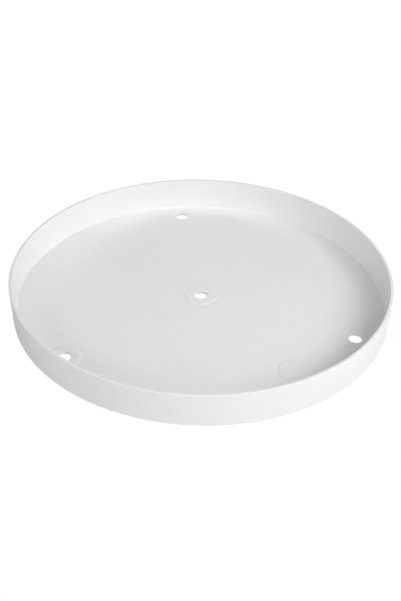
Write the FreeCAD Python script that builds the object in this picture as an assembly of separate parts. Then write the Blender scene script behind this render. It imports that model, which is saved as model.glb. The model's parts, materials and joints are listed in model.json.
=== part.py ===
"""Lazy susan turntable: a round moulded tray that turns on a caged ring of steel balls over a low base ring.

Millimetres, +Z up, origin on the resting surface under the centre of the tray, one tray hole on +Y.
The tray has a crowned floor with an open centre hole and three open holes near its wall. It carries a
keeper ring under its floor, held by six screws, that hooks below the inner flange of the base ring. Sixteen
balls run between a flat track under the tray and a groove in the base ring. Six rubber feet sit in sockets
under the base ring.
"""

import FreeCAD, Part
import math
import os

OUT_DIR = "parts"

# Tray
TRAY_RADIUS = 175.0  # over the rim
TRAY_FOOT_RADIUS = 173.0  # outside of the wall at its lower edge, so the wall leans out by 2 mm
TRAY_HEIGHT = 34.0  # lower edge of the wall to the rim
TRAY_LIFT = 9.0  # gap under the wall
WALL = 2.7
FLOOR = 2.2
FLOOR_CENTRE = 9.0  # top of the floor at the centre, above the lower edge of the wall
CROWN_DROP = 4.4  # how far the floor falls from the centre to the circle of outer holes
RIM_OUTER_ROUND = 0.6
RIM_INNER_ROUND = 0.3
FOOT_ROUND = 2.0
FLOOR_ROUND = 0.8

# Holes and pads of the tray
HOLE_RADIUS = 6.1
HOLE_CIRCLE_RADIUS = 149.25
HOLE_COUNT = 3
CENTRE_HOLE_CHAMFER = 0.5  # on the lower edge
OUTER_HOLE_CHAMFER = 1.3
PAD_RADIUS = 14.5
PAD_RAISE = 0.5
BLIND_PAD_RADIUS = 15.5
BLIND_PAD_CIRCLE_RADIUS = 134.5
BLIND_PAD_CLOCK_ANGLE = 150.0  # clockwise from +Y, seen from above

# Ball bearing
BALL_RADIUS = 3.0
BALL_CIRCLE_RADIUS = 84.0
BALL_COUNT = 16
BALL_GAP = 0.1  # play between a ball and each track
TRACK_DROP = 0.4  # how far the flat track lies below the underside of the floor
GROOVE_PLAY = 0.2  # how much larger than the ball the groove's arc is

# Guide ribs and stiffening ribs under the tray
GUIDE_CLEARANCE = 0.4
GUIDE_WALL = 1.6
GUIDE_HEIGHT = 2.2
RIB_WIDTH = 1.4
OUTER_RIB_COUNT = 12
OUTER_RIB_LEVEL = 1.6  # lower edge of the outer ribs, above the lower edge of the wall
INNER_RIB_COUNT = 12
INNER_RIB_LEVEL = 4.2
RING_RIB_RADIUS = 119.0
HOLE_RING_RADIUS = 13.0
HOLE_RING_LEVEL = 1.0
CENTRE_RING_LEVEL = 4.4

# Keeper ring, its bosses and screws
BOSS_CIRCLE_RADIUS = 61.0
BOSS_RADIUS = 4.0
BOSS_COUNT = 6
PILOT_RADIUS = 1.45
PILOT_DEPTH = 8.5
KEEPER_INNER_RADIUS = 56.5
KEEPER_OUTER_RADIUS = 72.0
KEEPER_THICKNESS = 1.8
KEEPER_PLAY = 0.3  # under the flange of the base ring
KEEPER_HOLE_RADIUS = 1.9
KEEPER_ROUND = 0.5
SCREW_LENGTH = 9.5
SCREW_PITCH = 1.3
SCREW_CREST_RADIUS = 1.42
SCREW_CORE_RADIUS = 1.05
SCREW_HEAD_RADIUS = 3.4
SCREW_HEAD_HEIGHT = 2.2
SCREW_SHOULDER_RADIUS = 2.7
SCREW_SHOULDER_DROP = 1.9  # from the seat to the shoulder of the domed head
CROSS_LENGTH = 3.6
CROSS_WIDTH = 0.7
CROSS_DEPTH = 1.3

# Cage
CAGE_THICKNESS = 1.5
CAGE_WIDTH = 9.0
CAGE_POCKET_PLAY = 0.2
CAGE_LEVEL = 0.15  # middle of the cage below the ball centres
CAGE_LIGHTENING_RADIUS = 2.2
CAGE_ROUND = 0.4

# Base ring
BASE_OUTER_RADIUS = 106.0
BASE_INNER_RADIUS = 66.0
BASE_INNER_WALL_RADIUS = 73.0
BASE_WALL = 2.0
BASE_PLATE = 2.0
BASE_PLATE_TOP = 8.2
BASE_FOOT_LEVEL = 1.2
BASE_RIDGE_WIDTH = 8.4
BASE_RIDGE_TOP = 9.7
BASE_RIB_COUNT = 24
BASE_RIB_WIDTH = 1.2
BASE_RIB_LEVEL = 2.0
BASE_EDGE_ROUND = 1.2
BASE_INNER_ROUND = 0.6

# Rubber feet
PAD_FOOT_COUNT = 6
PAD_FOOT_CIRCLE_RADIUS = 89.5
PAD_FOOT_RADIUS = 7.5
PAD_FOOT_HEIGHT = 2.6
PAD_FOOT_ROUND = 0.6
SOCKET_PLAY = 0.05
SOCKET_WALL = 1.5
SOCKET_LEVEL = 1.4
GRIP_GROOVE_RADII = (2.4, 4.8)
GRIP_GROOVE_WIDTH = 0.8
GRIP_GROOVE_DEPTH = 0.5

UP = FreeCAD.Vector(0, 0, 1)
CENTRE = FreeCAD.Vector(0, 0, 0)
EDGE_TOLERANCE = 0.01
CUT_MARGIN = 1.0  # how far a cutting tool runs past the faces it cuts

CROWN_RADIUS = (HOLE_CIRCLE_RADIUS**2 + CROWN_DROP**2) / (2 * CROWN_DROP)
RIM_TOP = TRAY_LIFT + TRAY_HEIGHT


def floor_top(radius):
    """Height of the crowned floor's upper face at this distance from the axis."""
    sag = CROWN_RADIUS - math.sqrt(CROWN_RADIUS**2 - radius**2)
    return TRAY_LIFT + FLOOR_CENTRE - sag


TRACK_LEVEL = floor_top(BALL_CIRCLE_RADIUS) - FLOOR - TRACK_DROP
BALL_LEVEL = TRACK_LEVEL - BALL_GAP - BALL_RADIUS
GROOVE_RADIUS = BALL_RADIUS + GROOVE_PLAY
GROOVE_CENTRE_LEVEL = BALL_LEVEL - BALL_RADIUS - BALL_GAP + GROOVE_RADIUS
FLANGE_UNDERSIDE = BASE_PLATE_TOP - BASE_PLATE
KEEPER_TOP = FLANGE_UNDERSIDE - KEEPER_PLAY
KEEPER_BOTTOM = KEEPER_TOP - KEEPER_THICKNESS


def point(radius, height):
    """A point of a profile in the XZ plane."""
    return FreeCAD.Vector(radius, 0, height)


def revolved(edges):
    """The closed profile turned through a full turn about Z."""
    face = Part.Face(Part.Wire(edges))
    return face.revolve(CENTRE, UP, 360)


def polygon(points):
    """Straight edges through the points and back to the first."""
    closed = points + points[:1]
    return [Part.makeLine(point(*a), point(*b)) for a, b in zip(closed, closed[1:])]


def ring(inner, outer, bottom, top):
    """A flat ring with a rectangular section."""
    return revolved(polygon([(inner, bottom), (outer, bottom), (outer, top), (inner, top)]))


def disc(radius, bottom, top, centre=(0.0, 0.0)):
    """An upright cylinder."""
    return Part.makeCylinder(radius, top - bottom, FreeCAD.Vector(centre[0], centre[1], bottom), UP)


def on_circle(radius, clock_angle):
    """X and Y of a place at this distance from the axis, with the angle clockwise from +Y."""
    angle = math.radians(clock_angle)
    return radius * math.sin(angle), radius * math.cos(angle)


def around(count, start=0.0):
    """Evenly spaced clock angles."""
    return [start + index * 360.0 / count for index in range(count)]


def spoke(inner, outer, width, bottom, top, clock_angle):
    """A straight bar that runs outwards between two radii."""
    bar = Part.makeBox(width, outer - inner, top - bottom, FreeCAD.Vector(-width / 2, inner, bottom))
    bar.rotate(CENTRE, UP, -clock_angle)
    return bar


def round_edges(solid, radius, circles):
    """Rounds the circular edges about Z that have these (radius, height) pairs."""
    chosen = []
    for edge in solid.Edges:
        if edge.Degenerated or not isinstance(edge.Curve, Part.Circle):
            continue
        curve = edge.Curve
        if math.hypot(curve.Center.x, curve.Center.y) > EDGE_TOLERANCE:
            continue
        for wanted_radius, wanted_height in circles:
            near_radius = abs(curve.Radius - wanted_radius) < EDGE_TOLERANCE
            if near_radius and abs(curve.Center.z - wanted_height) < EDGE_TOLERANCE:
                chosen.append(edge)
    if len(chosen) != len(circles):
        raise ValueError(f"found {len(chosen)} of the {len(circles)} edges to round")
    return solid.makeFillet(radius, chosen)


def crown_arc(outer, rise):
    """The edge of the crowned floor's section from the axis out, moved up by rise."""
    places = [(r, floor_top(r) + rise) for r in (0.0, outer / 2, outer)]
    return Part.Arc(*[point(*place) for place in places]).toShape()


def crown_layer(outer, low, high):
    """The space between two copies of the floor's upper face, moved up by low and by high."""
    axis = Part.makeLine(point(0, floor_top(0) + low), point(0, floor_top(0) + high))
    edge = Part.makeLine(point(outer, floor_top(outer) + low), point(outer, floor_top(outer) + high))
    return revolved([crown_arc(outer, low), edge, crown_arc(outer, high), axis])


def under_floor(level):
    """The space from this height up to the middle of the floor, inside the wall."""
    outer = TRAY_FOOT_RADIUS - WALL
    rise = -FLOOR / 2
    bottom = TRAY_LIFT + level
    side = Part.makeLine(point(outer, bottom), point(outer, floor_top(outer) + rise))
    base = Part.makeLine(point(0, bottom), point(outer, bottom))
    axis = Part.makeLine(point(0, bottom), point(0, floor_top(0) + rise))
    return revolved([base, side, crown_arc(outer, rise), axis])


def tray_shell():
    """The wall and the crowned floor, with rounded edges."""
    wall_lean = (TRAY_RADIUS - TRAY_FOOT_RADIUS) / TRAY_HEIGHT
    inner_foot = TRAY_FOOT_RADIUS - WALL
    corner_height = floor_top(inner_foot)
    corner = inner_foot + (corner_height - TRAY_LIFT) * wall_lean
    inner_rim = TRAY_RADIUS - WALL
    corners = [
        point(0, floor_top(0) - FLOOR),
        point(inner_foot, floor_top(inner_foot) - FLOOR),
        point(inner_foot, TRAY_LIFT),
        point(TRAY_FOOT_RADIUS, TRAY_LIFT),
        point(TRAY_RADIUS, RIM_TOP),
        point(inner_rim, RIM_TOP),
        point(corner, floor_top(corner)),
        point(0, floor_top(0)),
    ]
    edges = [crown_arc(inner_foot, -FLOOR)]
    edges += [Part.makeLine(a, b) for a, b in zip(corners[1:6], corners[2:7])]
    edges += [crown_arc(corner, 0.0), Part.makeLine(corners[7], corners[0])]
    shell = revolved(edges)
    shell = round_edges(shell, FLOOR_ROUND, [(corner, floor_top(corner))])
    shell = round_edges(shell, FOOT_ROUND, [(TRAY_FOOT_RADIUS, TRAY_LIFT)])
    shell = round_edges(shell, RIM_OUTER_ROUND, [(TRAY_RADIUS, RIM_TOP)])
    return round_edges(shell, RIM_INNER_ROUND, [(inner_rim, RIM_TOP)])


def hole_places():
    """Centres of the four holes: the middle one, then the outer ones."""
    return [(0.0, 0.0)] + [on_circle(HOLE_CIRCLE_RADIUS, angle) for angle in around(HOLE_COUNT)]


def tray_pads():
    """The low round pads on the floor: one round each hole, and a blind one."""
    layer = crown_layer(HOLE_CIRCLE_RADIUS + PAD_RADIUS + CUT_MARGIN, -FLOOR / 2, PAD_RAISE)
    pads = [disc(PAD_RADIUS, TRAY_LIFT, RIM_TOP, place) for place in hole_places()]
    blind = on_circle(BLIND_PAD_CIRCLE_RADIUS, BLIND_PAD_CLOCK_ANGLE)
    pads.append(disc(BLIND_PAD_RADIUS, TRAY_LIFT, RIM_TOP, blind))
    return [layer.common(pad) for pad in pads]


def tray_ribs():
    """Stiffening ribs under the floor: spokes, a ring, and a ring round each hole."""
    guide_inner, guide_outer = guide_radii()
    outside = [
        spoke(guide_outer, TRAY_FOOT_RADIUS - WALL, RIB_WIDTH, TRAY_LIFT, RIM_TOP, angle)
        for angle in around(OUTER_RIB_COUNT, 180.0 / OUTER_RIB_COUNT)
    ]
    outside.append(ring(RING_RIB_RADIUS, RING_RIB_RADIUS + RIB_WIDTH, TRAY_LIFT, RIM_TOP))
    inside = [
        spoke(HOLE_RING_RADIUS, guide_inner, RIB_WIDTH, TRAY_LIFT, RIM_TOP, angle)
        for angle in around(INNER_RIB_COUNT, 180.0 / INNER_RIB_COUNT)
    ]
    ribs = [under_floor(OUTER_RIB_LEVEL).common(rib) for rib in outside]
    ribs += [under_floor(INNER_RIB_LEVEL).common(rib) for rib in inside]
    levels = [CENTRE_RING_LEVEL] + [HOLE_RING_LEVEL] * HOLE_COUNT
    for place, level in zip(hole_places(), levels):
        collar = disc(HOLE_RING_RADIUS + RIB_WIDTH, TRAY_LIFT, RIM_TOP, place)
        collar = collar.cut(disc(HOLE_RING_RADIUS, TRAY_LIFT, RIM_TOP, place))
        ribs.append(under_floor(level).common(collar))
    return ribs


def guide_radii():
    """Inner radius of the inner guide rib and outer radius of the outer one."""
    reach = BALL_RADIUS + GUIDE_CLEARANCE + GUIDE_WALL
    return BALL_CIRCLE_RADIUS - reach, BALL_CIRCLE_RADIUS + reach


def tray_track():
    """The flat track under the floor, with a guide rib on each side of the balls."""
    inner, outer = guide_radii()
    inside_floor = TRACK_LEVEL + TRACK_DROP + FLOOR / 2
    guide_bottom = TRACK_LEVEL - GUIDE_HEIGHT
    return [
        ring(inner, outer, TRACK_LEVEL, inside_floor),
        ring(inner, inner + GUIDE_WALL, guide_bottom, inside_floor),
        ring(outer - GUIDE_WALL, outer, guide_bottom, inside_floor),
    ]


def boss_places():
    """Centres of the screw bosses, between the inner ribs."""
    return [on_circle(BOSS_CIRCLE_RADIUS, angle) for angle in around(BOSS_COUNT)]


def hole_cutter(place, chamfer):
    """A hole's bore with a chamfer on its lower edge."""
    underside = floor_top(math.hypot(*place)) - FLOOR
    bore = disc(HOLE_RADIUS, TRAY_LIFT, RIM_TOP, place)
    wide = HOLE_RADIUS + chamfer
    cone = Part.makeCone(wide, HOLE_RADIUS, chamfer, FreeCAD.Vector(place[0], place[1], underside), UP)
    return bore.fuse(cone).fuse(disc(wide, TRAY_LIFT - CUT_MARGIN, underside, place))


def make_tray():
    """The moulded tray in one piece."""
    floor_middle = floor_top(BOSS_CIRCLE_RADIUS) - FLOOR / 2
    bosses = [disc(BOSS_RADIUS, KEEPER_TOP, floor_middle, place) for place in boss_places()]
    tray = tray_shell().multiFuse(tray_pads() + tray_ribs() + tray_track() + bosses)
    pilots = [disc(PILOT_RADIUS, KEEPER_TOP, KEEPER_TOP + PILOT_DEPTH, place) for place in boss_places()]
    chamfers = [CENTRE_HOLE_CHAMFER] + [OUTER_HOLE_CHAMFER] * HOLE_COUNT
    holes = [hole_cutter(place, chamfer) for place, chamfer in zip(hole_places(), chamfers)]
    tray = tray.cut(Part.makeCompound(holes + pilots))
    return tray.removeSplitter()


def make_keeper_ring():
    """The flat ring screwed under the tray's bosses, which hooks below the flange of the base ring."""
    keeper = ring(KEEPER_INNER_RADIUS, KEEPER_OUTER_RADIUS, KEEPER_BOTTOM, KEEPER_TOP)
    lower_edges = [(KEEPER_INNER_RADIUS, KEEPER_BOTTOM), (KEEPER_OUTER_RADIUS, KEEPER_BOTTOM)]
    keeper = round_edges(keeper, KEEPER_ROUND, lower_edges)
    low = KEEPER_BOTTOM - CUT_MARGIN
    high = KEEPER_TOP + CUT_MARGIN
    holes = [disc(KEEPER_HOLE_RADIUS, low, high, place) for place in boss_places()]
    return keeper.cut(Part.makeCompound(holes))


def screw():
    """One pan-head screw on the axis, head down, with its seat at height 0."""
    turns = int(SCREW_LENGTH / SCREW_PITCH) - 1
    outline = [(0.0, SCREW_LENGTH)]
    for turn in range(turns, 0, -1):
        outline.append((SCREW_CORE_RADIUS, turn * SCREW_PITCH + SCREW_PITCH / 2))
        outline.append((SCREW_CREST_RADIUS, turn * SCREW_PITCH))
    outline.append((SCREW_CORE_RADIUS, SCREW_PITCH / 2))
    outline.append((SCREW_CORE_RADIUS, 0.0))
    outline.append((SCREW_HEAD_RADIUS, 0.0))
    outline.append((SCREW_HEAD_RADIUS, -SCREW_HEAD_HEIGHT / 2))
    edges = [Part.makeLine(point(*a), point(*b)) for a, b in zip(outline, outline[1:])]
    shoulder = point(SCREW_SHOULDER_RADIUS, -SCREW_SHOULDER_DROP)
    crest = point(0.0, -SCREW_HEAD_HEIGHT)
    edges.append(Part.Arc(point(*outline[-1]), shoulder, crest).toShape())
    edges.append(Part.makeLine(crest, point(0.0, SCREW_LENGTH)))
    body = revolved(edges)
    for length, width in ((CROSS_LENGTH, CROSS_WIDTH), (CROSS_WIDTH, CROSS_LENGTH)):
        corner = FreeCAD.Vector(-length / 2, -width / 2, -SCREW_HEAD_HEIGHT - CUT_MARGIN)
        body = body.cut(Part.makeBox(length, width, CROSS_DEPTH + CUT_MARGIN, corner))
    return body


def make_keeper_screws():
    """Six equal screws, one in each boss."""
    screws = []
    for place in boss_places():
        copy = screw()
        copy.translate(FreeCAD.Vector(place[0], place[1], KEEPER_BOTTOM))
        screws.append(copy)
    return Part.makeCompound(screws)


def ball_places():
    """Centres of the balls, seen from above."""
    return [on_circle(BALL_CIRCLE_RADIUS, angle) for angle in around(BALL_COUNT)]


def make_ball(place):
    """One steel ball."""
    return Part.makeSphere(BALL_RADIUS, FreeCAD.Vector(place[0], place[1], BALL_LEVEL))


def make_cage():
    """The flat ring that spaces the balls, with a pocket for each and a lightening hole between pockets."""
    middle = BALL_LEVEL - CAGE_LEVEL
    bottom = middle - CAGE_THICKNESS / 2
    top = middle + CAGE_THICKNESS / 2
    inner = BALL_CIRCLE_RADIUS - CAGE_WIDTH / 2
    outer = BALL_CIRCLE_RADIUS + CAGE_WIDTH / 2
    cage = round_edges(ring(inner, outer, bottom, top), CAGE_ROUND, [(inner, bottom), (outer, bottom)])
    low = bottom - CUT_MARGIN
    high = top + CUT_MARGIN
    pockets = [disc(BALL_RADIUS + CAGE_POCKET_PLAY, low, high, place) for place in ball_places()]
    between = [on_circle(BALL_CIRCLE_RADIUS, angle) for angle in around(BALL_COUNT, 180.0 / BALL_COUNT)]
    lightening = [disc(CAGE_LIGHTENING_RADIUS, low, high, place) for place in between]
    return cage.cut(Part.makeCompound(pockets + lightening))


def foot_angles():
    """Clock angles of the rubber feet, midway between ribs of the base ring."""
    return around(PAD_FOOT_COUNT, 180.0 / BASE_RIB_COUNT)


def make_base_ring():
    """The ribbed ring that stands on the feet and carries the ball groove."""
    inner_wall = BASE_INNER_WALL_RADIUS
    plate_bottom = BASE_PLATE_TOP - BASE_PLATE
    ridge_inner = BALL_CIRCLE_RADIUS - BASE_RIDGE_WIDTH / 2
    ridge_outer = BALL_CIRCLE_RADIUS + BASE_RIDGE_WIDTH / 2
    profile = [
        (BASE_INNER_RADIUS, plate_bottom),
        (inner_wall, plate_bottom),
        (inner_wall, BASE_FOOT_LEVEL),
        (inner_wall + BASE_WALL, BASE_FOOT_LEVEL),
        (inner_wall + BASE_WALL, plate_bottom),
        (BASE_OUTER_RADIUS - BASE_WALL, plate_bottom),
        (BASE_OUTER_RADIUS - BASE_WALL, BASE_FOOT_LEVEL),
        (BASE_OUTER_RADIUS, BASE_FOOT_LEVEL),
        (BASE_OUTER_RADIUS, BASE_PLATE_TOP),
        (ridge_outer, BASE_PLATE_TOP),
        (ridge_outer, BASE_RIDGE_TOP),
        (ridge_inner, BASE_RIDGE_TOP),
        (ridge_inner, BASE_PLATE_TOP),
        (BASE_INNER_RADIUS, BASE_PLATE_TOP),
    ]
    base = revolved(polygon(profile))
    base = round_edges(base, BASE_EDGE_ROUND, [(BASE_OUTER_RADIUS, BASE_PLATE_TOP)])
    base = round_edges(base, BASE_INNER_ROUND, [(BASE_INNER_RADIUS, BASE_PLATE_TOP)])
    groove = Part.makeTorus(
        BALL_CIRCLE_RADIUS, GROOVE_RADIUS, FreeCAD.Vector(0, 0, GROOVE_CENTRE_LEVEL), UP
    )
    rib_ends = (inner_wall + BASE_WALL / 2, BASE_OUTER_RADIUS - BASE_WALL / 2)
    inside_plate = BASE_PLATE_TOP - BASE_PLATE / 2
    ribs = [
        spoke(*rib_ends, BASE_RIB_WIDTH, BASE_RIB_LEVEL, inside_plate, angle)
        for angle in around(BASE_RIB_COUNT)
    ]
    socket_radius = PAD_FOOT_RADIUS + SOCKET_PLAY
    places = [on_circle(PAD_FOOT_CIRCLE_RADIUS, angle) for angle in foot_angles()]
    sockets = [disc(socket_radius + SOCKET_WALL, SOCKET_LEVEL, inside_plate, place) for place in places]
    recesses = [disc(socket_radius, 0.0, PAD_FOOT_HEIGHT, place) for place in places]
    base = base.multiFuse(ribs + sockets)
    base = base.cut(Part.makeCompound([groove] + recesses))
    return base.removeSplitter()


def make_foot(clock_angle):
    """One rubber foot with round edges below and two grip grooves."""
    foot = disc(PAD_FOOT_RADIUS, 0.0, PAD_FOOT_HEIGHT)
    foot = round_edges(foot, PAD_FOOT_ROUND, [(PAD_FOOT_RADIUS, 0.0)])
    for radius in GRIP_GROOVE_RADII:
        foot = foot.cut(ring(radius, radius + GRIP_GROOVE_WIDTH, -CUT_MARGIN, GRIP_GROOVE_DEPTH))
    place = on_circle(PAD_FOOT_CIRCLE_RADIUS, clock_angle)
    foot.translate(FreeCAD.Vector(place[0], place[1], 0))
    return foot


def make_nodes():
    """Every sub-part by name."""
    nodes = {
        "tray": make_tray(),
        "keeper_ring": make_keeper_ring(),
        "keeper_screws": make_keeper_screws(),
        "ball_cage": make_cage(),
        "base_ring": make_base_ring(),
    }
    for number, place in enumerate(ball_places(), start=1):
        nodes[f"ball_{number:02d}"] = make_ball(place)
    for number, angle in enumerate(foot_angles(), start=1):
        nodes[f"foot_{number}"] = make_foot(angle)
    return nodes


def main():
    os.makedirs(OUT_DIR, exist_ok=True)
    for name, shape in make_nodes().items():
        shape.exportStep(os.path.join(OUT_DIR, name + ".step"))
        print(f"{name}: {len(shape.Solids)} solid, valid {shape.isValid()}, {shape.Volume:.1f} mm3")


main()
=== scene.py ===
"""Looks of a lazy susan turntable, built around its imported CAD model.

The frame is the model's own: +Z up along the axis of rotation, the origin on the resting surface under the
centre of the tray, and +Y towards the first outer hole. The tray's shapes are worked out in millimetres and
scaled as the meshes are made. Clock angles run clockwise from +Y, seen from above.
"""

import json
import math

import bmesh
import bpy
from mathutils import Matrix, Vector
from mathutils.geometry import delaunay_2d_cdt


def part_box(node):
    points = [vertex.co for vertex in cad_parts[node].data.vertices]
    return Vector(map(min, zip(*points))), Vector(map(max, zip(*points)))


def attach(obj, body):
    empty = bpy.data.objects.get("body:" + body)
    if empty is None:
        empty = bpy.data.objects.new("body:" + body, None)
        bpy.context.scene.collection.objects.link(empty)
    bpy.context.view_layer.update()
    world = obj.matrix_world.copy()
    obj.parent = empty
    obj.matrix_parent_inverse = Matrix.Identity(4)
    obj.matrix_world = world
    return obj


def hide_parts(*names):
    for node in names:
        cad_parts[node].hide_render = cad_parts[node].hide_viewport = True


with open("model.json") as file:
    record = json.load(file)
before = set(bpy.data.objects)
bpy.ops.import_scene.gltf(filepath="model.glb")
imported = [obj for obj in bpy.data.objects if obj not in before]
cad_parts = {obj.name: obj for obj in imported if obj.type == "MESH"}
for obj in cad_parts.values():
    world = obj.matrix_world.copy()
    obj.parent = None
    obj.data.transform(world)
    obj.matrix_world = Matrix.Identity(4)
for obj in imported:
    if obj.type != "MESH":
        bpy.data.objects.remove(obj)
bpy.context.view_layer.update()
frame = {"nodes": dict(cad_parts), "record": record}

MM = 0.001


def mount_dims(name):
    """The stated sizes of one of the record's mounts, in millimetres."""
    return next(mount["dims"] for mount in frame["record"]["mounts"] if mount["name"] == name)


# Tray, as in the CAD model
RIM_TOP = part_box("tray")[1].z / MM
TRAY_RADIUS = 175.0
TRAY_FOOT_RADIUS = 173.0
TRAY_LIFT = 9.0
WALL = 2.7
FLOOR = 2.2
FLOOR_CENTRE = 9.0
CROWN_DROP = 4.4
RIM_OUTER_ROUND = 0.6
RIM_INNER_ROUND = 0.3
FOOT_ROUND = 2.0
INNER_FOOT_ROUND = 0.3
FLOOR_ROUND = 0.8
HOLE_RADIUS = mount_dims("centre_hole")["r_mm"]
HOLE_CIRCLE_RADIUS = mount_dims("outer_holes")["pcd_mm"] / 2
HOLE_COUNT = mount_dims("outer_holes")["count"]
CENTRE_HOLE_CHAMFER = 0.5
OUTER_HOLE_CHAMFER = 1.3
PAD_RADIUS = 14.5
PAD_RAISE = 0.5
BLIND_PAD_RADIUS = 15.5
BLIND_PAD_CIRCLE_RADIUS = 134.5
BLIND_PAD_CLOCK_ANGLE = 150.0

# Ribs, track and bosses under the tray, as in the CAD model
BALL_GAP = 0.1
TRACK_DROP = 0.4
TRACK_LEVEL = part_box("ball_01")[1].z / MM + BALL_GAP
GUIDE_INNER = 79.0
GUIDE_OUTER = 89.0
GUIDE_WALL = 1.6
GUIDE_HEIGHT = 2.2
RIB_WIDTH = 1.4
RIB_BITE = 0.2  # how far an outer rib reaches into the guide, which keeps it clear of the cage
OUTER_RIB_LEVEL = TRAY_LIFT + 1.6
INNER_RIB_LEVEL = TRAY_LIFT + 4.2
CENTRE_RING_LEVEL = TRAY_LIFT + 4.4
HOLE_RING_LEVEL = TRAY_LIFT + 1.0
HOLE_RING_RADIUS = 13.0
RING_RIB_RADIUS = 119.0
RIB_COUNT = 12
BOSS_COUNT = 6
BOSS_CIRCLE_RADIUS = 61.0
BOSS_RADIUS = 4.0
BOSS_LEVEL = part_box("tray")[0].z / MM
PILOT_RADIUS = 1.45
PILOT_DEPTH = 8.5

# Fine shape of the moulding, which the CAD model leaves out
HOLE_LIP = 0.6
PAD_SLOPE = 1.7  # width of the pads' sloping edge
EJECTOR_CIRCLE_RADIUS = 29.0
EJECTOR_CLOCK_ANGLES = (80.0, 150.0, 246.0, 336.0)
EJECTOR_RADIUS = 2.3
EJECTOR_DEPTH = 0.12
EJECTOR_EDGE = 0.4

# Mesh
FLOOR_EDGE = 168.0  # where the floor's sheets meet the turned wall
LATHE_SEGMENTS = 360
HOLE_SEGMENTS = 96
ARC_STEPS = 8
SPOKE_STEPS = 12
PAD_EDGE_STEPS = 3  # rings of points on each half of a pad's sloping edge
EJECTOR_RING_OFFSETS = (-0.6, -0.4, -0.2, 0.0, 0.2)
GRID_STEP = 6.0
GRID_GAP = GRID_STEP / 4  # least distance between the grid and a ring of points
GRID_GROWTH = 6  # points added on each ring outwards, which keeps them about a step apart
TRIANGULATION_TOLERANCE = 1e-6
WELD = 0.0005
SHARP_ANGLE = 35.0

CROWN_RADIUS = (HOLE_CIRCLE_RADIUS**2 + CROWN_DROP**2) / (2 * CROWN_DROP)
WALL_LEAN = (TRAY_RADIUS - TRAY_FOOT_RADIUS) / (RIM_TOP - TRAY_LIFT)


def on_circle(radius, clock_angle):
    """X and Y of a place at this distance from the axis."""
    angle = math.radians(clock_angle)
    return radius * math.sin(angle), radius * math.cos(angle)


def evenly(count, start=0.0):
    """Evenly spaced clock angles."""
    return [start + index * 360.0 / count for index in range(count)]


def floor_top(radius):
    """Height of the crowned floor's upper face, without pads."""
    return TRAY_LIFT + FLOOR_CENTRE - (CROWN_RADIUS - math.sqrt(CROWN_RADIUS**2 - radius**2))


def floor_middle(radius):
    """Height halfway through the floor, where the ribs end."""
    return floor_top(radius) - FLOOR / 2


OUTER_HOLES = [on_circle(HOLE_CIRCLE_RADIUS, angle) for angle in evenly(HOLE_COUNT)]
HOLES = [(0.0, 0.0)] + OUTER_HOLES
HOLE_CHAMFERS = [CENTRE_HOLE_CHAMFER] + [OUTER_HOLE_CHAMFER] * HOLE_COUNT
BLIND_PAD = on_circle(BLIND_PAD_CIRCLE_RADIUS, BLIND_PAD_CLOCK_ANGLE)
PADS = [(place, PAD_RADIUS) for place in HOLES] + [(BLIND_PAD, BLIND_PAD_RADIUS)]
EJECTORS = [on_circle(EJECTOR_CIRCLE_RADIUS, angle) for angle in EJECTOR_CLOCK_ANGLES]


def smooth_step(start, end, value):
    """0 up to start, 1 from end on, with a smooth rise between them."""
    t = min(max((value - start) / (end - start), 0.0), 1.0)
    return t * t * (3 - 2 * t)


def upper_face(x, y):
    """Height of the moulded upper face: the crown, the pads' soft edges and the ejector marks."""
    height = floor_top(math.hypot(x, y))
    for (px, py), radius in PADS:
        distance = math.hypot(x - px, y - py)
        height += PAD_RAISE * (1 - smooth_step(radius - PAD_SLOPE / 2, radius + PAD_SLOPE / 2, distance))
    for px, py in EJECTORS:
        distance = math.hypot(x - px, y - py)
        height -= EJECTOR_DEPTH * (1 - smooth_step(EJECTOR_RADIUS - EJECTOR_EDGE, EJECTOR_RADIUS, distance))
    return height


def lower_face(x, y):
    """Height of the floor's lower face."""
    return floor_top(math.hypot(x, y)) - FLOOR


class Shape:
    """Vertices and faces in millimetres, gathered piece by piece and welded when the mesh is made."""

    def __init__(self):
        self.points = []
        self.faces = []

    def add(self, points, faces):
        first = len(self.points)
        self.points += points
        self.faces += [[first + index for index in face] for face in faces]

    def object(self, name):
        mesh = bpy.data.meshes.new(name)
        mesh.from_pydata([Vector(p) * MM for p in self.points], [], self.faces)
        body = bmesh.new()
        body.from_mesh(mesh)
        bmesh.ops.remove_doubles(body, verts=body.verts, dist=WELD * MM)
        bmesh.ops.recalc_face_normals(body, faces=body.faces)
        body.to_mesh(mesh)
        body.free()
        made = bpy.data.objects.new(name, mesh)
        bpy.context.scene.collection.objects.link(made)
        return made


def strip(rows, closed=False):
    """Quads between rings of points. Each row is one ring, and closed joins the last row to the first."""
    count = len(rows[0])
    pairs = list(zip(range(len(rows)), range(1, len(rows))))
    if closed:
        pairs.append((len(rows) - 1, 0))
    faces = []
    for a, b in pairs:
        for i in range(count):
            j = (i + 1) % count
            faces.append((a * count + i, a * count + j, b * count + j, b * count + i))
    return [p for row in rows for p in row], faces


def circle(radius, count, place=(0.0, 0.0)):
    """X and Y of evenly spaced points on a circle."""
    turns = [2 * math.pi * index / count for index in range(count)]
    return [(place[0] + radius * math.sin(t), place[1] + radius * math.cos(t)) for t in turns]


def lathe(profile, count, closed=False):
    """The strip that the (radius, height) profile sweeps about the axis."""
    rows = [[(x, y, height) for x, y in circle(radius, count)] for radius, height in profile]
    return strip(rows, closed)


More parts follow.
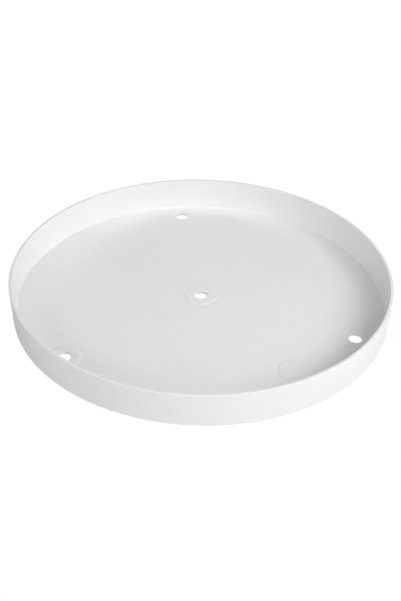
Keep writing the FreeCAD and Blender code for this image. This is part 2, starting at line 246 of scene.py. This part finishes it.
def rounded(corners, rounds):
    """The polyline with each inner corner replaced by an arc of its radius."""
    line = [corners[0]]
    for before, corner, after, radius in zip(corners, corners[1:], corners[2:], rounds):
        a = (Vector(before) - Vector(corner)).normalized()
        b = (Vector(after) - Vector(corner)).normalized()
        half = a.angle(b) / 2
        centre = Vector(corner) + (a + b).normalized() * radius / math.sin(half)
        start = Vector(corner) + a * radius / math.tan(half) - centre
        end = Vector(corner) + b * radius / math.tan(half) - centre
        sweep = start.angle(end)
        for step in range(ARC_STEPS + 1):
            turn = sweep * step / ARC_STEPS
            along = (start * math.sin(sweep - turn) + end * math.sin(turn)) / math.sin(sweep)
            line.append(tuple(centre + along))
    line.append(corners[-1])
    return line


def wall_profile():
    """Section of the wall, from the floor's upper face over the rim to its lower face."""
    inner_foot = TRAY_FOOT_RADIUS - WALL
    corner = inner_foot + (floor_top(inner_foot) - TRAY_LIFT) * WALL_LEAN
    corners = [
        (FLOOR_EDGE, floor_top(FLOOR_EDGE)),
        (corner, floor_top(corner)),
        (TRAY_RADIUS - WALL, RIM_TOP),
        (TRAY_RADIUS, RIM_TOP),
        (TRAY_FOOT_RADIUS, TRAY_LIFT),
        (inner_foot, TRAY_LIFT),
        (inner_foot, floor_top(inner_foot) - FLOOR),
        (FLOOR_EDGE, floor_top(FLOOR_EDGE) - FLOOR),
    ]
    rounds = [FLOOR_ROUND, RIM_INNER_ROUND, RIM_OUTER_ROUND, FOOT_ROUND, INNER_FOOT_ROUND, INNER_FOOT_ROUND]
    return rounded(corners, rounds)


def hole_wall(place, chamfer):
    """Inside of one hole: a rounded lip, the bore and the chamfer below."""
    section = []
    for step in range(ARC_STEPS + 1):
        turn = math.pi / 2 * step / ARC_STEPS
        section.append((HOLE_LIP * (1 - math.sin(turn)), PAD_RAISE - HOLE_LIP * (1 - math.cos(turn))))
    section += [(0.0, chamfer - FLOOR), (chamfer, -FLOOR)]
    rows = []
    for offset, rise in section:
        ring = circle(HOLE_RADIUS + offset, HOLE_SEGMENTS, place)
        rows.append([(x, y, floor_top(math.hypot(x, y)) + rise) for x, y in ring])
    return strip(rows)


def in_any(x, y, circles):
    """Whether the place lies inside one of these circles."""
    return any(math.hypot(x - px, y - py) < radius for (px, py), radius in circles)


def grid_points(hole_edges, rings):
    """Evenly spread places on the floor, clear of the holes and of the rings of points."""
    points = []
    for ring in range(1, int(FLOOR_EDGE / GRID_STEP)):
        radius = ring * GRID_STEP
        for x, y in circle(radius, GRID_GROWTH * ring):
            gaps = [abs(math.hypot(x - px, y - py) - r) for (px, py), r in rings]
            if min(gaps) > GRID_GAP and not in_any(x, y, hole_edges) and radius < FLOOR_EDGE - GRID_GAP:
                points.append((x, y))
    return points


def sheet(height, hole_edges, fine_rings):
    """The floor as triangles at height(x, y), with open holes and rings of points at fine shapes."""
    rings = hole_edges + fine_rings
    loops = [circle(FLOOR_EDGE, LATHE_SEGMENTS)]
    loops += [circle(radius, HOLE_SEGMENTS, place) for place, radius in rings]
    points, edges = [], []
    for loop in loops:
        first = len(points)
        edges += [(first + i, first + (i + 1) % len(loop)) for i in range(len(loop))]
        points += loop
    points = [Vector(p) for p in points + grid_points(hole_edges, rings)]
    found, _, faces, *_ = delaunay_2d_cdt(points, edges, [], 0, TRIANGULATION_TOLERANCE)
    kept = []
    for face in faces:
        x = sum(found[i].x for i in face) / 3
        y = sum(found[i].y for i in face) / 3
        if not in_any(x, y, hole_edges):
            kept.append(list(face))
    return [(p.x, p.y, height(p.x, p.y)) for p in found], kept


def pad_rings():
    """Rings of points across the sloping edge of every pad and ejector mark."""
    rings = []
    for place, radius in PADS:
        for step in range(-PAD_EDGE_STEPS, PAD_EDGE_STEPS + 1):
            rings.append((place, radius + step * PAD_SLOPE / (2 * PAD_EDGE_STEPS)))
        rings.append((place, radius - PAD_SLOPE))
        rings.append((place, radius + PAD_SLOPE))
    for place in EJECTORS:
        rings += [(place, EJECTOR_RADIUS + offset) for offset in EJECTOR_RING_OFFSETS]
    return rings


def tray_shell():
    """The wall, the floor and the holes as one closed skin."""
    shape = Shape()
    shape.add(*lathe(wall_profile(), LATHE_SEGMENTS))
    for place, chamfer in zip(HOLES, HOLE_CHAMFERS):
        shape.add(*hole_wall(place, chamfer))
    upper_edges = [(place, HOLE_RADIUS + HOLE_LIP) for place in HOLES]
    shape.add(*sheet(upper_face, upper_edges, pad_rings()))
    lower_edges = [(place, HOLE_RADIUS + chamfer) for place, chamfer in zip(HOLES, HOLE_CHAMFERS)]
    shape.add(*sheet(lower_face, lower_edges, []))
    return shape.object("tray_moulding")


def ring_solid(name, profile, count=LATHE_SEGMENTS):
    """A closed ring about the axis."""
    shape = Shape()
    shape.add(*lathe(profile, count, closed=True))
    return shape.object(name)


def rib_spoke(inner, outer, level, clock_angle):
    """A straight rib whose upper edge lies inside the crowned floor."""
    shape = Shape()
    rows = []
    half = RIB_WIDTH / 2
    for step in range(SPOKE_STEPS + 1):
        distance = inner + (outer - inner) * step / SPOKE_STEPS
        top = floor_middle(distance)
        section = [(-half, level), (half, level), (half, top), (-half, top)]
        rows.append([(across, distance, height) for across, height in section])
    points, faces = strip(rows)
    last = len(points) - 4
    faces += [(3, 2, 1, 0), (last, last + 1, last + 2, last + 3)]
    shape.add(points, faces)
    rib = shape.object("rib")
    rib.data.transform(Matrix.Rotation(-math.radians(clock_angle), 4, "Z"))
    return rib


def hole_collar(place, level):
    """A round rib about a hole, with its upper edge inside the crowned floor."""
    outer = HOLE_RING_RADIUS + RIB_WIDTH
    rows = []
    for radius, low in ((HOLE_RING_RADIUS, True), (outer, True), (outer, False), (HOLE_RING_RADIUS, False)):
        ring = circle(radius, HOLE_SEGMENTS, place)
        rows.append([(x, y, level if low else floor_middle(math.hypot(x, y))) for x, y in ring])
    shape = Shape()
    shape.add(*strip(rows, closed=True))
    return shape.object("collar")


def screw_boss(place):
    """A boss with a blind pilot hole from below."""
    top = floor_middle(BOSS_CIRCLE_RADIUS)
    pilot_top = BOSS_LEVEL + PILOT_DEPTH
    section = [(0.0, pilot_top), (PILOT_RADIUS, pilot_top), (PILOT_RADIUS, BOSS_LEVEL)]
    section += [(BOSS_RADIUS, BOSS_LEVEL), (BOSS_RADIUS, top), (0.0, top)]
    rows = []
    for radius, height in section:
        rows.append([(x, y, height) for x, y in circle(radius, HOLE_SEGMENTS // 2, place)])
    shape = Shape()
    shape.add(*strip(rows))
    return shape.object("boss")


def track_profile():
    """Section of the flat ball track and its two guide ribs."""
    low = TRACK_LEVEL - GUIDE_HEIGHT
    top = TRACK_LEVEL + TRACK_DROP + FLOOR / 2
    return [
        (GUIDE_INNER, low),
        (GUIDE_INNER + GUIDE_WALL, low),
        (GUIDE_INNER + GUIDE_WALL, TRACK_LEVEL),
        (GUIDE_OUTER - GUIDE_WALL, TRACK_LEVEL),
        (GUIDE_OUTER - GUIDE_WALL, low),
        (GUIDE_OUTER, low),
        (GUIDE_OUTER, top),
        (GUIDE_INNER, top),
    ]


def ring_rib_profile():
    """Section of the ring-shaped rib between the bearing and the wall."""
    outer = RING_RIB_RADIUS + RIB_WIDTH
    return [
        (RING_RIB_RADIUS, OUTER_RIB_LEVEL),
        (outer, OUTER_RIB_LEVEL),
        (outer, floor_middle(outer)),
        (RING_RIB_RADIUS, floor_middle(RING_RIB_RADIUS)),
    ]


def underside_parts():
    """Every rib, collar and boss under the floor, as closed solids that reach into it."""
    turn = 180.0 / RIB_COUNT
    wall_inside = TRAY_FOOT_RADIUS - WALL / 2
    parts = [ring_solid("track", track_profile()), ring_solid("ring_rib", ring_rib_profile())]
    parts += [
        rib_spoke(GUIDE_OUTER - RIB_BITE, wall_inside, OUTER_RIB_LEVEL, angle)
        for angle in evenly(RIB_COUNT, turn)
    ]
    parts += [
        rib_spoke(HOLE_RING_RADIUS + RIB_WIDTH / 2, GUIDE_INNER + GUIDE_WALL / 2, INNER_RIB_LEVEL, angle)
        for angle in evenly(RIB_COUNT, turn)
    ]
    levels = [CENTRE_RING_LEVEL] + [HOLE_RING_LEVEL] * HOLE_COUNT
    parts += [hole_collar(place, level) for place, level in zip(HOLES, levels)]
    parts += [screw_boss(on_circle(BOSS_CIRCLE_RADIUS, angle)) for angle in evenly(BOSS_COUNT)]
    return parts


def merge(base, parts):
    """Joins the closed parts to the base by solid union, and removes them."""
    for part in parts:
        union = base.modifiers.new(part.name, "BOOLEAN")
        union.operation = "UNION"
        union.solver = "MANIFOLD"
        union.object = part
    graph = bpy.context.evaluated_depsgraph_get()
    merged = bpy.data.meshes.new_from_object(base.evaluated_get(graph))
    base.modifiers.clear()
    base.data = merged
    for part in parts:
        bpy.data.objects.remove(part)


def make_tray():
    """The moulded tray, which stands for the CAD tray and turns with it."""
    tray = tray_shell()
    merge(tray, underside_parts())
    tray.data.shade_smooth()
    tray.data.set_sharp_from_angle(angle=math.radians(SHARP_ANGLE))
    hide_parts("tray")
    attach(tray, "turntable")
    return tray


# Camera, in metres and degrees. It looks down from the -Y side, turned by the azimuth towards -X
CAMERA_DISTANCE = 1.0764
CAMERA_AZIMUTH = 8.33
CAMERA_ELEVATION = 35.30
CAMERA_ROLL = 1.484
CAMERA_LENS = 69.06
SENSOR = 36.0
SHIFT_X = -0.00034
SHIFT_Y = 0.00456

FLOOR_HALF = 6.0
FLOOR_REFLECTION = 0.8
WORLD_STRENGTH = 0.1

# Name, azimuth and elevation in degrees, diameter in metres and power in watts of each light. The last two
# stand below the floor, which lets them through, and show the underside
SOFTBOXES = [
    ("key", 330, 32, 0.8, 12.0),
    ("key_high", 315, 46, 0.9, 8.5),
    ("front_low", 270, 20, 0.8, 8.8),
    ("left", 210, 32, 0.8, 6.4),
    ("left_high", 180, 64, 0.9, 5.6),
    ("right_high", 0, 46, 0.9, 4.5),
    ("right_low", 30, 20, 0.8, 4.3),
    ("back", 90, 32, 0.8, 2.0),
    ("back_low", 90, 8, 0.8, 3.0),
    ("under_back", 110, -58, 0.8, 7.5),
    ("under", 60, -82, 1.0, 3.0),
]
SOFTBOX_DISTANCE = 2.0

# Usual range of noise values
NOISE_LOW = 0.3
NOISE_HIGH = 0.7


def view_direction(azimuth, elevation):
    """Unit vector from the object. Azimuth 0 is to the camera's right and 90 is away from it."""
    turn = math.radians(azimuth - CAMERA_AZIMUTH)
    rise = math.radians(elevation)
    return Vector((math.cos(turn) * math.cos(rise), math.sin(turn) * math.cos(rise), math.sin(rise)))


def aim(thing, place, target):
    """Puts a camera or a light at its place, facing the target."""
    thing.location = place
    thing.rotation_euler = (target - place).to_track_quat("-Z", "Y").to_euler()


def make_camera():
    """The camera, rolled a little about its own axis."""
    data = bpy.data.cameras.new("camera")
    data.sensor_width = SENSOR
    data.lens = CAMERA_LENS
    data.shift_x = SHIFT_X
    data.shift_y = SHIFT_Y
    data.clip_end = 4 * FLOOR_HALF
    camera = bpy.data.objects.new("camera", data)
    target = Vector((0, 0, TRAY_LIFT * MM))
    aim(camera, target + CAMERA_DISTANCE * view_direction(-90, CAMERA_ELEVATION), target)
    camera.rotation_euler.rotate_axis("Z", math.radians(CAMERA_ROLL))
    bpy.context.scene.collection.objects.link(camera)
    bpy.context.scene.camera = camera


def softbox(name, azimuth, elevation, size, power):
    """A round area light that faces the object."""
    data = bpy.data.lights.new(name, "AREA")
    data.shape = "DISK"
    data.size = size
    data.energy = power
    light = bpy.data.objects.new(name, data)
    target = Vector((0, 0, TRAY_LIFT * MM))
    aim(light, target + SOFTBOX_DISTANCE * view_direction(azimuth, elevation), target)
    bpy.context.scene.collection.objects.link(light)


def new_material(name):
    """A node material with only its output, and the tree to build it in."""
    material = bpy.data.materials.new(name)
    material.use_nodes = True
    tree = material.node_tree
    tree.nodes.clear()
    output = tree.nodes.new("ShaderNodeOutputMaterial")
    return material, tree, output


def floor_material():
    """White paper: evenly white from above, softly reflecting, and clear to views and lights below it."""
    material, tree, output = new_material("floor_paper")
    nodes, links = tree.nodes, tree.links
    path = nodes.new("ShaderNodeLightPath")
    side = nodes.new("ShaderNodeNewGeometry")
    paper = nodes.new("ShaderNodeBsdfDiffuse")
    paper.inputs["Color"].default_value = (FLOOR_REFLECTION, FLOOR_REFLECTION, FLOOR_REFLECTION, 1)
    glow = nodes.new("ShaderNodeEmission")
    clear = nodes.new("ShaderNodeBsdfTransparent")
    seen = nodes.new("ShaderNodeMixShader")
    links.new(path.outputs["Is Camera Ray"], seen.inputs["Fac"])
    links.new(paper.outputs["BSDF"], seen.inputs[1])
    links.new(glow.outputs["Emission"], seen.inputs[2])
    open_way = nodes.new("ShaderNodeMath")
    open_way.operation = "MAXIMUM"
    links.new(side.outputs["Backfacing"], open_way.inputs[0])
    links.new(path.outputs["Is Shadow Ray"], open_way.inputs[1])
    sides = nodes.new("ShaderNodeMixShader")
    links.new(open_way.outputs["Value"], sides.inputs["Fac"])
    links.new(seen.outputs["Shader"], sides.inputs[1])
    links.new(clear.outputs["BSDF"], sides.inputs[2])
    links.new(sides.outputs["Shader"], output.inputs["Surface"])
    return material


def make_floor():
    """A wide square floor at the height that the feet stand on."""
    mesh = bpy.data.meshes.new("floor")
    signs = [(-1, -1), (1, -1), (1, 1), (-1, 1)]
    corners = [(FLOOR_HALF * x, FLOOR_HALF * y, 0) for x, y in signs]
    mesh.from_pydata(corners, [], [(0, 1, 2, 3)])
    mesh.materials.append(floor_material())
    floor = bpy.data.objects.new("floor", mesh)
    bpy.context.scene.collection.objects.link(floor)


def make_world():
    """An even white surround: plain white to the camera, softer as a light."""
    world = bpy.data.worlds.new("world")
    world.use_nodes = True
    tree = world.node_tree
    nodes, links = tree.nodes, tree.links
    light = nodes["Background"]
    light.inputs["Color"].default_value = (1, 1, 1, 1)
    light.inputs["Strength"].default_value = WORLD_STRENGTH
    shown = nodes.new("ShaderNodeBackground")
    shown.inputs["Color"].default_value = (1, 1, 1, 1)
    path = nodes.new("ShaderNodeLightPath")
    mix = nodes.new("ShaderNodeMixShader")
    links.new(path.outputs["Is Camera Ray"], mix.inputs["Fac"])
    links.new(light.outputs["Background"], mix.inputs[1])
    links.new(shown.outputs["Background"], mix.inputs[2])
    links.new(mix.outputs["Shader"], nodes["World Output"].inputs["Surface"])
    bpy.context.scene.world = world
    bpy.context.scene.view_settings.view_transform = "Standard"


def principled(name, metallic=0.0):
    """A node material around one Principled shader, with the tree and the shader to build on."""
    material, tree, output = new_material(name)
    shader = tree.nodes.new("ShaderNodeBsdfPrincipled")
    shader.inputs["Metallic"].default_value = metallic
    tree.links.new(shader.outputs["BSDF"], output.inputs["Surface"])
    return material, tree, shader


def noise(tree, size, detail=2.0, stretch=(1.0, 1.0, 1.0)):
    """Solid noise in the object's own space, with features of about this size in millimetres."""
    place = tree.nodes.new("ShaderNodeTexCoord")
    scale = tree.nodes.new("ShaderNodeMapping")
    scale.inputs["Scale"].default_value = [1 / (size * MM * factor) for factor in stretch]
    texture = tree.nodes.new("ShaderNodeTexNoise")
    texture.inputs["Scale"].default_value = 1.0
    texture.inputs["Detail"].default_value = detail
    tree.links.new(place.outputs["Object"], scale.inputs["Vector"])
    tree.links.new(scale.outputs["Vector"], texture.inputs["Vector"])
    return texture.outputs["Fac"]


def tint(tree, shader, value, dark, light):
    """Base colour that drifts between two colours over the noise's usual range."""
    ramp = tree.nodes.new("ShaderNodeValToRGB")
    ramp.color_ramp.elements[0].position = NOISE_LOW
    ramp.color_ramp.elements[0].color = (*dark, 1)
    ramp.color_ramp.elements[1].position = NOISE_HIGH
    ramp.color_ramp.elements[1].color = (*light, 1)
    tree.links.new(value, ramp.inputs["Fac"])
    tree.links.new(ramp.outputs["Color"], shader.inputs["Base Color"])


def gloss(tree, shader, value, smooth, rough):
    """Roughness that drifts between two values over the noise's usual range."""
    spread = tree.nodes.new("ShaderNodeMapRange")
    spread.inputs["From Min"].default_value = NOISE_LOW
    spread.inputs["From Max"].default_value = NOISE_HIGH
    spread.inputs["To Min"].default_value = smooth
    spread.inputs["To Max"].default_value = rough
    tree.links.new(value, spread.inputs["Value"])
    tree.links.new(spread.outputs["Result"], shader.inputs["Roughness"])


def relief(tree, shader, layers):
    """Bump from layers of noise, each with its depth in millimetres."""
    normal = None
    for value, depth in layers:
        bump = tree.nodes.new("ShaderNodeBump")
        bump.inputs["Distance"].default_value = depth * MM
        tree.links.new(value, bump.inputs["Height"])
        if normal:
            tree.links.new(normal, bump.inputs["Normal"])
        normal = bump.outputs["Normal"]
    tree.links.new(normal, shader.inputs["Normal"])


def tray_plastic():
    """Cool white polypropylene: spark-eroded grain, slight sink waves, faint flow clouds, uneven gloss."""
    material, tree, shader = principled("tray_moulded_plastic")
    tint(tree, shader, noise(tree, 60, detail=3), (0.874, 0.874, 0.884), (0.888, 0.888, 0.898))
    gloss(tree, shader, noise(tree, 9), 0.46, 0.54)
    relief(tree, shader, [(noise(tree, 7), 0.02), (noise(tree, 0.35), 0.012)])
    return material


def base_plastic():
    """The same plastic in the hidden rings, a little greyer and with a coarser grain."""
    material, tree, shader = principled("ring_moulded_plastic")
    tint(tree, shader, noise(tree, 30, detail=3), (0.78, 0.78, 0.785), (0.82, 0.82, 0.825))
    gloss(tree, shader, noise(tree, 5), 0.44, 0.56)
    relief(tree, shader, [(noise(tree, 4), 0.02), (noise(tree, 0.5), 0.02)])
    return material


def cage_plastic():
    """Natural acetal: creamy, smoother than the tray, with fine flow lines."""
    material, tree, shader = principled("cage_acetal")
    tint(tree, shader, noise(tree, 8, detail=4), (0.70, 0.69, 0.65), (0.76, 0.75, 0.71))
    gloss(tree, shader, noise(tree, 2), 0.28, 0.40)
    relief(tree, shader, [(noise(tree, 1.5), 0.01)])
    return material


def ball_steel():
    """Polished bearing steel with faint running marks."""
    material, tree, shader = principled("bearing_steel", metallic=1.0)
    tint(tree, shader, noise(tree, 2), (0.60, 0.60, 0.62), (0.66, 0.66, 0.68))
    gloss(tree, shader, noise(tree, 0.6, detail=4, stretch=(1, 1, 0.2)), 0.06, 0.16)
    relief(tree, shader, [(noise(tree, 0.5, stretch=(1, 1, 0.2)), 0.0008)])
    return material


def screw_steel():
    """Zinc plate: slightly yellow patches, uneven gloss and a fine drawn grain."""
    material, tree, shader = principled("zinc_plated_steel", metallic=1.0)
    tint(tree, shader, noise(tree, 1.5, detail=3), (0.56, 0.56, 0.54), (0.66, 0.65, 0.60))
    gloss(tree, shader, noise(tree, 0.8), 0.24, 0.42)
    relief(tree, shader, [(noise(tree, 0.25, stretch=(1, 1, 4)), 0.004)])
    return material


def foot_rubber():
    """Grey rubber with a matt, pebbled skin."""
    material, tree, shader = principled("non_slip_rubber")
    tint(tree, shader, noise(tree, 4, detail=3), (0.27, 0.27, 0.28), (0.32, 0.32, 0.33))
    gloss(tree, shader, noise(tree, 1.5), 0.70, 0.88)
    relief(tree, shader, [(noise(tree, 0.3), 0.05)])
    return material


FINISHES = {
    "tray_plastic": tray_plastic,
    "base_plastic": base_plastic,
    "cage_plastic": cage_plastic,
    "ball_steel": ball_steel,
    "screw_steel": screw_steel,
    "foot_rubber": foot_rubber,
}


def finish_surfaces(tray):
    """Gives the tray and every CAD node the finish of its slot in the record."""
    made = {slot: make() for slot, make in FINISHES.items()}
    tray.data.materials.clear()
    tray.data.materials.append(made["tray_plastic"])
    for part in frame["record"]["subparts"]:
        for slot in frame["nodes"][part["node"]].material_slots:
            slot.material = made[part["material_slot"]]


make_camera()
make_floor()
make_world()
for softbox_row in SOFTBOXES:
    softbox(*softbox_row)

tray = make_tray()
finish_surfaces(tray)
